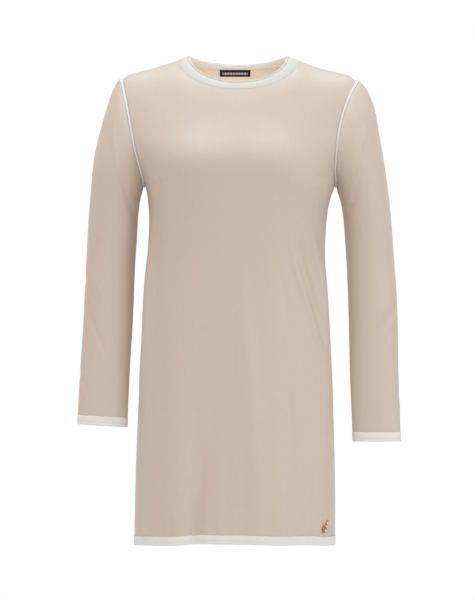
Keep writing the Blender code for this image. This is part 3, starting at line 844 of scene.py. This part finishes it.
def sleeve_ring(arm, along, angle):
    """An upright ellipse across the sleeve, with its long axis from the body to the outer side."""
    outer, inner = (
        np.array([SLEEVES.read(f"{arm}_{edge}_x", along), -SLEEVES.read(f"{arm}_{edge}_drop", along)])
        for edge in ("outer", "inner")
    )
    flat = (outer + inner) / 2 + (outer - inner) / 2 * np.cos(angle)[:, None]
    deep = SLEEVES.read("behind", along) - SLEEVES.read("half_depth", along) * np.sin(angle)
    return np.stack([OUTWARD[arm] * flat[:, 0], deep, flat[:, 1]], axis=-1)


def tube_normals(rings):
    """Outward normals of a tube, whose last column is its first again."""
    open_rings = rings[:, :-1]
    round_it = np.roll(open_rings, -1, axis=1) - np.roll(open_rings, 1, axis=1)
    normals = unit(np.cross(round_it, np.gradient(open_rings, axis=0)))
    normals *= np.sign(dot(normals, open_rings - open_rings.mean(axis=1, keepdims=True)).mean())
    return np.concatenate([normals, normals[:, :1]], axis=1)


def sleeve_surface(arm):
    """Rings from the armhole's own points to the cuff, with the head clear of the piping.

    The cut runs out both ways from the outer side to the seam under the arm.
    """
    points, outward, _, start, width = armhole_frame(arm)
    angle = math.pi - 2 * math.pi * np.arange(len(points)) / len(points)
    steps = np.linspace(0, 1, SLEEVE_ROWS + 1) ** CLOSER_AT_HEAD
    lean = np.ones((len(points), 1))
    # How far the wall leans at the head is known only once the sleeve has been laid out
    for _ in range(2):
        head = points + outward * (start + width + SEAM_GAP + SOLID_WALL / 2 * lean)
        shape_left = head - sleeve_ring(arm, 0.0, angle)
        rings = np.array([sleeve_ring(arm, step, angle) for step in steps])
        rings += shape_left * (np.clip(1 - steps / HEAD_PART, 0, 1) ** 2)[:, None, None]
        rings = np.concatenate([rings, rings[:, :1]], axis=1)
        normals = tube_normals(rings)
        lean = np.abs(dot(normals[0, :-1], outward))
    round_arm = lengths(rings, axis=1)
    seam = round_arm[:, -1:] / 2
    round_arm -= seam
    along = lengths(rings, axis=0)
    clear = ease((seam - np.abs(round_arm)) / CLEAR_OF_SEAMS) * ease(along / CLEAR_OF_SEAMS)
    rings = rings + normals * (crease_relief(SLEEVE_CREASES[arm], round_arm, along) * clear)[..., None]
    return rings, tube_normals(rings), on_cut(round_arm, along)


sleeves = {arm: sleeve_surface(arm) for arm in OUTWARD}
for arm, surface in sleeves.items():
    sleeve = make_shell(f"sleeve_{arm}_jersey", *surface, [jersey_face, jersey_reverse])
    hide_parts(f"sleeve_{arm}")


# ----------------------------------------
# Cuff bands
# An ivory knitted band at each sleeve's end, folded double, sewn on all round and stitched down by a line
# of small stitches a third of the way up from its fold.

CUFF_BAND_DEPTH = 0.0160
STITCHED_AT = 0.66

# A folded band's section, round from its seam: share of its depth, then millimetres past that and millimetres
# over its middle
FOLDED_SECTION = [
    (0, 0.1, 0.4), (0, -0.6, 0.7), (0, -0.7, 0.9), (0, -0.4, 1.1), (0, 1, 1.2), (0.3, 0, 1.2), (0.52, 0, 1.2),
    (STITCHED_AT, -1.2, 1.2), (STITCHED_AT, -0.5, 1), (STITCHED_AT, 0, 0.8), (STITCHED_AT, 0.5, 1),
    (STITCHED_AT, 1.2, 1.2), (0.86, 0, 1.2), (1, -1.1, 1), (1, -0.3, 0.6), (1, 0, 0.1), (1, -0.2, -0.5),
    (1, -1.1, -1), (0.8, 0, -1.1), (0.5, 0, -1.1), (0, 1, -1.1), (0, 0.1, -0.8), (0, 0, -0.2),
]


def folded_band(name, seam, onward, lean, depth, material, closed):
    """A folded band of this depth that carries the cloth on from a seam, with its stitch line sunk in."""
    share, past, over = np.array(FOLDED_SECTION).T[:, :, None]
    down = depth * share + past / 1000
    sections = seam[:, None] + onward[:, None] * (SEAM_GAP + down) + lean[:, None] * (over / 1000)
    return make_band(name, sections, down[:, 0], [material], closed)


cuff_ivory = ivory("ivory_cuffs", (0.868, 0.866, 0.826), stitch_line=CUFF_BAND_DEPTH * STITCHED_AT)
for arm, surface in sleeves.items():
    rings, normals = (grid[:, :-1] for grid in surface[:2])
    edge = (rings[-1], unit(rings[-1] - rings[-2]), normals[-1])
    cuff = folded_band(f"cuff_{arm}_knit", *edge, CUFF_BAND_DEPTH, cuff_ivory, closed=True)
    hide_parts(f"cuff_band_{arm}")


# ----------------------------------------
# Hem bands
# The same folded and stitched ivory band along the front's hem and along the back's, joined at the side
# seams. It follows the folds of the skirt.

HEM_BAND_DEPTH = 0.0153

hem_ivory = ivory("ivory_hem", (0.868, 0.872, 0.838), stitch_line=HEM_BAND_DEPTH * STITCHED_AT)
for side, (points, normals, _) in panels.items():
    seam = points[0].copy()
    seam[0] += unit(seam[1] - seam[0]) * SEAM_GAP / 2
    seam[-1] += unit(seam[-2] - seam[-1]) * SEAM_GAP / 2
    edge = (seam, unit(points[0] - points[1]), normals[0])
    hem = folded_band(f"hem_{side}_knit", *edge, HEM_BAND_DEPTH, hem_ivory, closed=False)
    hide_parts(f"hem_band_{side}")


# ----------------------------------------
# Neck band
# A flat ivory knitted band sewn round the neckline and leaning in over it. A thin roll edges the opening,
# set off from the band by a fine groove with its own stitches.

BAND_SHARE_ACROSS = 0.800
BAND_SHARE_DEEP = {"front": 0.82, "back": 0.75}
BAND_RISE_MIDDLE = {"front": 0.0127, "back": 0.0058}
BAND_RISE_SIDE = 0.0080

# The band's section: share of its width from the seam to the opening, and millimetres over its middle. The
# shares below zero lie over the jersey, outside and inside, and their heights count from the jersey's middle.
NECK_SECTION = [
    (0.005, 0.4), (-0.074, 0.45), (-0.08, 0.5), (-0.07, 0.62), (-0.048, 0.76), (-0.02, 0.9), (0.06, 1.1),
    (0.25, 1.4), (0.5, 1.5), (0.68, 1.4), (0.78, 1.3), (0.806, 0.8), (0.82, 0.1), (0.834, 0.8),
    (0.856, 1.5), (0.9, 2), (0.945, 2), (0.985, 1.4), (1.01, 0.5), (1.02, -0.2), (1.005, -0.9),
    (0.97, -1.3), (0.9, -1.3), (0.5, -1.2), (0.06, -1.1), (-0.02, -1), (-0.048, -0.9), (-0.07, -0.7),
    (-0.08, -0.5), (-0.074, -0.45), (0.005, -0.4),
]
NECK_ROLL_END = 19
NECK_BAND_WIDTH = 0.0195
NECK_STITCHED_AT = 0.82

neckline = (-1, slice(SHOULDER_COLUMNS, SHOULDER_COLUMNS + 2 * NECK_COLUMNS + 1))
seam = panel_loop(0, neckline)
lean = unit(panel_loop(1, neckline))
sides = ["front" if point[1] < 0 else "back" for point in seam]
share = 1 - (np.abs(seam[:, 0]) / NECK_HALF_WIDTH) ** 2
opening = seam.copy()
opening[:, 0] *= BAND_SHARE_ACROSS
opening[:, 1] *= [BAND_SHARE_DEEP[side] for side in sides]
middle_rise = np.array([BAND_RISE_MIDDLE[side] for side in sides])
opening[:, 2] += BAND_RISE_SIDE + (middle_rise - BAND_RISE_SIDE) * share
inward = unit(opening - seam)
outside = unit(np.cross(way_round(seam), inward))
outside *= np.sign(dot(outside, lean).mean())
start = trim_start(lean, inward)
width = np.linalg.norm(opening - seam, axis=1, keepdims=True) - start
over_jersey = unit(lean * dot(lean, inward) - inward)
part, over = np.array(NECK_SECTION).T
on_jersey = part[:, None] < 0
across = inward[:, None] * (start + width * part)[:, :, None]
across = np.where(on_jersey, -over_jersey[:, None] * (width * part)[:, :, None], across)
rise = np.where(on_jersey, lean[:, None], outside[:, None]) * over[:, None] / 1000
sections = seam[:, None] + across + rise

neck_stitches = NECK_BAND_WIDTH * NECK_STITCHED_AT
# Lit and shaded copies of one knit: the outer face is painted darker to make up for the strong light from
# above on it, and the inside is painted lighter to make up for the shade inside the neck
neck_ivory = ivory("ivory_neck", (0.722, 0.690, 0.632), stitch_line=neck_stitches, seam_shade_to=0.0175)
neck_inside = ivory("ivory_neck_inside", (0.860, 0.838, 0.775), seam_shade_to=0.0190)
neck = make_band("neck_knit", sections, part * NECK_BAND_WIDTH, [neck_ivory, neck_inside], closed=True)
inner_side = np.tile(np.arange(len(part)) >= NECK_ROLL_END, len(seam))
neck.data.polygons.foreach_set("material_index", inner_side.astype(np.int32))
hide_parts("neck_band")


# ----------------------------------------
# Neck label
# A black woven strip with a row of small off-white diamonds, sewn by its edges to the inside of the back
# just below the neck band.

LABEL_MIDDLE = -0.0055
LABEL_WIDTH = 0.0546
LABEL_TOP = -0.0132
LABEL_DEPTH = 0.0112
LABEL_HALF = 0.0005
LABEL_ROWS = 8
LABEL_COLUMNS = 24
DIAMOND_SPACING = 0.0050
DIAMOND_ROW_HALF = 0.0224


def on_panel(side, across, height):
    """The point of a panel at this distance from the middle and this height."""
    columns = panels[side][0].transpose(1, 0, 2)
    line = np.array([[np.interp(height, column[:, 2], column[:, k]) for k in (0, 1)] for column in columns])
    return np.array([across, np.interp(across, line[:, 0], line[:, 1]), height])


def woven(name):
    """Close satin weave, black, with a row of diamonds woven in off-white."""
    finish = {"roughness": 0.60, "specular_ior_level": 0.12, "sheen_weight": 0.02, "sheen_roughness": 0.40}
    material, shader, place = new_material(name, **finish)
    across = place.part(0)
    down = place.part(1)
    middle = abs(down - LABEL_DEPTH / 2)
    aside = abs(across - LABEL_WIDTH / 2)
    diamond = across.saw(DIAMOND_SPACING) * DIAMOND_SPACING + middle * 0.75
    ring = diamond.rise(0.00110, 0.00125) * (1 - diamond.rise(0.00195, 0.00210))
    heart = 1 - diamond.rise(0.00040, 0.00055)
    motif = (ring + heart) * (1 - aside.rise(DIAMOND_ROW_HALF, DIAMOND_ROW_HALF + 0.0001))
    ribs = (across + down * 0.5).saw(0.00045) * 2
    weft = down.saw(0.00030) * 2
    black = ribs.mix((0.006, 0.005, 0.006), (0.012, 0.011, 0.012))
    pale = weft.mix((0.780, 0.760, 0.720), (0.880, 0.865, 0.830))
    motif.mix(black, pale).into(shader, "Base Color")
    (ribs * 0.5 + weft * 0.3 + motif * 0.8).bump(0.00012, 0.35).into(shader, "Normal")
    return material


level = np.linspace(0, 1, LABEL_ROWS + 1)
heights = LABEL_TOP - LABEL_DEPTH * level
places = LABEL_MIDDLE + LABEL_WIDTH * np.linspace(-0.5, 0.5, LABEL_COLUMNS + 1)
points = np.array([[on_panel("back", place, height) for height in heights] for place in places])
inward = grid_normals(points)
inward *= np.sign(-inward[..., 1:2].mean())
points += inward * (SOLID_WALL / 2 + SEAM_GAP + LABEL_HALF)
round_edge = np.array([0.35, 0.85, *[1] * (LABEL_ROWS - 3), 0.85, 0.35])[:, None]
front_face = points + inward * LABEL_HALF * round_edge
back_face = points - inward * LABEL_HALF * round_edge
sections = np.concatenate([front_face, back_face[:, ::-1]], axis=1)
down = LABEL_DEPTH * np.concatenate([level, level[::-1]])
label = make_band("label_weave", sections, down, [woven("label_weave")], closed=False)
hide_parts("neck_label")


# ----------------------------------------
# Hem ornament
# A small copper-gold leaf with a raised rim and a waisted stem along one side, pinned through the hem of the
# front, and three clear cut stones set beside the stem in round bezels.

CHARM_PLACE = (0.1530, -0.8257)
CHARM_TILT = 38.0
CHARM_LENGTH = 0.0280
CHARM_WIDTH = 0.0115
CHARM_THICKNESS = 0.0012
CHARM_REACH = 0.020
STONE_WIDTH = 0.0044
STONES = ((0.0018, -0.0066), (0.0009, 0.0016), (0.0001, 0.0076))


def charm_frame():
    """Where the ornament sits on the front, with its own right, up and outward ways."""
    across, height = CHARM_PLACE
    place = on_panel("front", across, height)
    half = CHARM_REACH / 2
    side = on_panel("front", across + half, height) - on_panel("front", across - half, height)
    rise = on_panel("front", across, height + half) - on_panel("front", across, height - half)
    outward = unit(np.cross(side, rise))
    side = unit(side)
    upward = unit(np.cross(outward, side))
    steps = np.linspace(-half, half, 5)
    near = [on_panel("front", across + aside, height + up) - place for aside in steps for up in steps]
    highest = np.max(np.array(near) @ outward)
    tilt = math.radians(CHARM_TILT)
    own_up = upward * math.cos(tilt) + side * math.sin(tilt)
    return place + outward * (highest + SOLID_WALL / 2 + SEAM_GAP), np.cross(own_up, outward), own_up, outward


seat, charm_side, charm_up, charm_out = charm_frame()


def leaf_outline(steps):
    """A leaf with a rounded foot and a pointed tip, as distances to the side and up."""
    part = np.linspace(0, 1, steps + 1)
    right = np.stack([CHARM_WIDTH / 2 * np.sin(math.pi * part**0.75), CHARM_LENGTH * (part - 0.5)], axis=-1)
    left = right[-2:0:-1] * [-1, 1]
    return np.concatenate([right, left])


def on_charm(flat, high):
    """Points over the ornament's back, from their distances to the side and up and their height."""
    return seat + flat[:, :1] * charm_side + flat[:, 1:] * charm_up + np.reshape(high, (-1, 1)) * charm_out


def circle(count, turned=0.0):
    """Points evenly spaced round a circle of radius 1, starting this far round."""
    turns = np.linspace(0, 2 * math.pi, count, endpoint=False) + turned
    return np.stack([np.cos(turns), np.sin(turns)], axis=-1)


def wire(line, radius, high, around=10):
    """Rings round a wire that lies along a line on the ornament, thin at both ends."""
    along = unit(np.gradient(line, axis=0))
    aside = np.stack([along[:, 1], -along[:, 0]], axis=-1)
    rings = [on_charm(line + aside * radius[:, None] * out, high + radius * up) for out, up in circle(around)]
    return np.array(rings).transpose(1, 0, 2)


def polished(name, colour, dark, roughness):
    """Polished metal, a little darker and duller in small soft patches where it has been handled."""
    material, shader, place = new_material(name, metallic=1.0, roughness=roughness)
    worn = place.noise((900.0, 900.0, 900.0), 3.0).rise(0.35, 0.70)
    worn.mix(colour, dark).into(shader, "Base Color")
    (worn * 0.14 + roughness).into(shader, "Roughness")
    return material


def make_metal(name, parts, material, smooth):
    """Closed parts of metal or stone as one piece. A part is a grid of rings whose two ends are filled."""
    points = []
    faces = []
    for rings in parts:
        count, around = rings.shape[:2]
        index = len(points) + np.arange(count * around).reshape(count, around)
        faces += grid_quads(np.concatenate([index, index[:, :1]], axis=1)).tolist()
        points += rings.reshape(-1, 3).tolist()
        for end, ring in ((0, index[0].tolist()), (-1, index[-1].tolist())):
            points.append(rings[end].mean(axis=0).tolist())
            faces += [[one, other, len(points) - 1] for one, other in zip(ring, ring[1:] + ring[:1])]
    points = np.array(points)
    own_place = (points - seat) @ np.stack([charm_side, charm_up, charm_out]).T
    return make_piece(name, points, faces, own_place, [material], smooth=smooth)


# Rings from the underside to the middle of the top: share of the leaf's outline and height
PLATE_RINGS = (
    (0.94, 0.0), (0.99, 0.0001), (1.00, 0.0005), (0.99, 0.0010), (0.95, 0.0013),
    (0.90, 0.0012), (0.86, 0.0008), (0.82, 0.0006), (0.50, 0.0008), (0.20, 0.0009),
)
# A bezel's rings from its foot to its lip: radius and height
BEZEL_RINGS = ((0.0023, 0.0006), (0.0025, 0.0008), (0.0026, 0.0013), (0.0025, 0.0017), (0.0022, 0.0018))

outline = leaf_outline(28)
plate = [on_charm(outline * scale, high) for scale, high in PLATE_RINGS]
# The stem bends out towards the wearer's right and is waisted just below its middle
part = np.linspace(0, 1, 36)
stem_side = -0.0034 * np.sin(math.pi * part) ** 0.5 * (1 - 0.5 * np.exp(-(((part - 0.42) / 0.12) ** 2)))
stem = np.stack([stem_side, CHARM_LENGTH * (-0.48 + 0.95 * part)], axis=-1)
parts = [np.array(plate), wire(stem, 0.00075 * np.sin(math.pi * (0.06 + 0.88 * part)) ** 0.6, 0.0012)]
for place in STONES:
    parts.append(np.array([on_charm(place + circle(20) * radius, high) for radius, high in BEZEL_RINGS]))
gold = polished("copper_gold", (0.700, 0.360, 0.170), (0.430, 0.195, 0.080), 0.20)
charm = make_metal("leaf_ornament", parts, gold, smooth=True)
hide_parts("hem_charm")


def cut_stone(name):
    """Clear colourless stone, bright and sharp, with grey patches painted in as the dark reflections deep in
    its facets.
    """
    finish = {"roughness": 0.03, "ior": 2.1, "specular_ior_level": 0.9, "transmission_weight": 0.15}
    material, shader, place = new_material(name, **finish)
    # Painted reflection: grey noise patches for the dark facets of a clear stone
    deep = place.noise((480.0, 480.0, 480.0), 1.0).rise(0.50, 0.66)
    deep.mix((0.960, 0.960, 0.960), (0.300, 0.310, 0.320)).into(shader, "Base Color")
    return material


stone_material = cut_stone("clear_stone")

# A stone's eight-sided rings from its girdle to its table: radius and height in widths of the stone, and the
# share of a side that each is turned
STONE_RINGS = ((0.50, 0.06, 0.0), (0.54, 0.14, 0.5), (0.42, 0.26, 0.0), (0.27, 0.36, 0.5))
for number, place in enumerate(STONES, start=1):
    cut_rings = []
    for radius, high, twist in STONE_RINGS:
        facets = place + STONE_WIDTH * radius * circle(8, twist * math.pi / 4)
        cut_rings.append(on_charm(facets, CHARM_THICKNESS + SEAM_GAP + STONE_WIDTH * high))
    stone = make_metal(f"cut_stone_{number}", [np.array(cut_rings)], stone_material, smooth=False)
    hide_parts(f"charm_stone_{number}")


# ----------------------------------------
# Floor, light and camera
# A plain pale floor where a wearer's shoes would stand, fading to white. One large soft lamp hangs above and
# in front, one stands to each side in front, a small one glows inside the neck, and even light comes from all
# round. The camera is level and far in front.

FLOOR_HEIGHT = -1.420
FLOOR_RADIUS = 6.0
FLOOR_POINTS = 64
FADE_FROM = 2.5
FADE_TO = 5.6
WHITE = {"Color": (1.0, 1.0, 1.0, 1.0), "Strength": 1.0}

disc = [(*point, FLOOR_HEIGHT) for point in (FLOOR_RADIUS * circle(FLOOR_POINTS)).tolist()]
floor_mesh = bpy.data.meshes.new("floor")
floor_mesh.from_pydata(disc, [], [list(range(FLOOR_POINTS))])
floor = put_in("floor", floor_mesh)

floor_material, floor_shader, start = new_material("pale_floor", has_cut=False, roughness=0.9)
position = start.add("ShaderNodeTexCoord", out=3)
from_middle = start.add("ShaderNodeVectorMath", {"operation": "LENGTH"}, {0: position}, 1)
pale = position.noise((3.0, 3.0, 3.0)).mix((0.86, 0.86, 0.86), (0.88, 0.88, 0.88))
pale.into(floor_shader, "Base Color")
white = start.add("ShaderNodeEmission", None, WHITE)
lit = Shade(floor_material.node_tree, floor_shader.outputs[0])
shown = start.add("ShaderNodeMixShader", None, {0: from_middle.rise(FADE_FROM, FADE_TO), 1: lit, 2: white})
shown.into(floor_material.node_tree.nodes["Material Output"], "Surface")
floor_mesh.materials.append(floor_material)

# The even light's colour and strength
EVEN_LIGHT = {"Color": (1.0, 0.868, 0.785, 1.0), "Strength": 0.690}
world = bpy.data.worlds.new("studio")
bpy.context.scene.world = world
world.use_nodes = True
sky = Shade(world.node_tree)
seen = sky.add("ShaderNodeLightPath")
around = sky.add("ShaderNodeBackground", None, EVEN_LIGHT)
behind = sky.add("ShaderNodeBackground", None, WHITE)
both = sky.add("ShaderNodeMixShader", None, {0: seen, 1: around, 2: behind})
both.into(world.node_tree.nodes["World Output"], "Surface")

# Lamps: place, the point each is aimed at, size across, watts, colour
BODY_MIDDLE = (0.0, 0.0, -0.35)
LAMPS = {
    "above": ((0.0, -0.6, 3.4), BODY_MIDDLE, 1.6, 90.0, (0.71, 0.87, 1.00)),
    "front_right_arm": ((-2.4, -2.0, 1.8), BODY_MIDDLE, 1.6, 14.0, (0.74, 0.90, 1.00)),
    "left_arm": ((3.65, -2.1, 0.2), BODY_MIDDLE, 1.2, 27.0, (0.70, 0.88, 1.00)),
    "neck": ((-0.008, -0.03, -0.16), (-0.008, 0.10, -0.01), 0.12, 0.220, (1.0, 0.99, 0.97)),
}
for name, (place, aim, size, watts, colour) in LAMPS.items():
    light = bpy.data.lights.new(name, "AREA")
    light.size = size
    light.energy = watts
    light.color = colour
    lamp = put_in(name, light)
    lamp.visible_camera = False
    lamp.location = place
    direction = unit(np.array(aim) - np.array(place))
    lamp.rotation_euler = (math.acos(-direction[2]), 0.0, -math.atan2(direction[0], direction[1]))

LENS_LENGTH = 337.4
CAMERA_PLACE = (-0.0012, -10.0, -0.4250)
lens = bpy.data.cameras.new("camera")
lens.lens = LENS_LENGTH
camera = put_in("camera", lens)
camera.location = CAMERA_PLACE
camera.rotation_euler = (math.pi / 2, 0.0, 0.0)
bpy.context.scene.camera = camera
bpy.context.scene.view_settings.view_transform = "Standard"
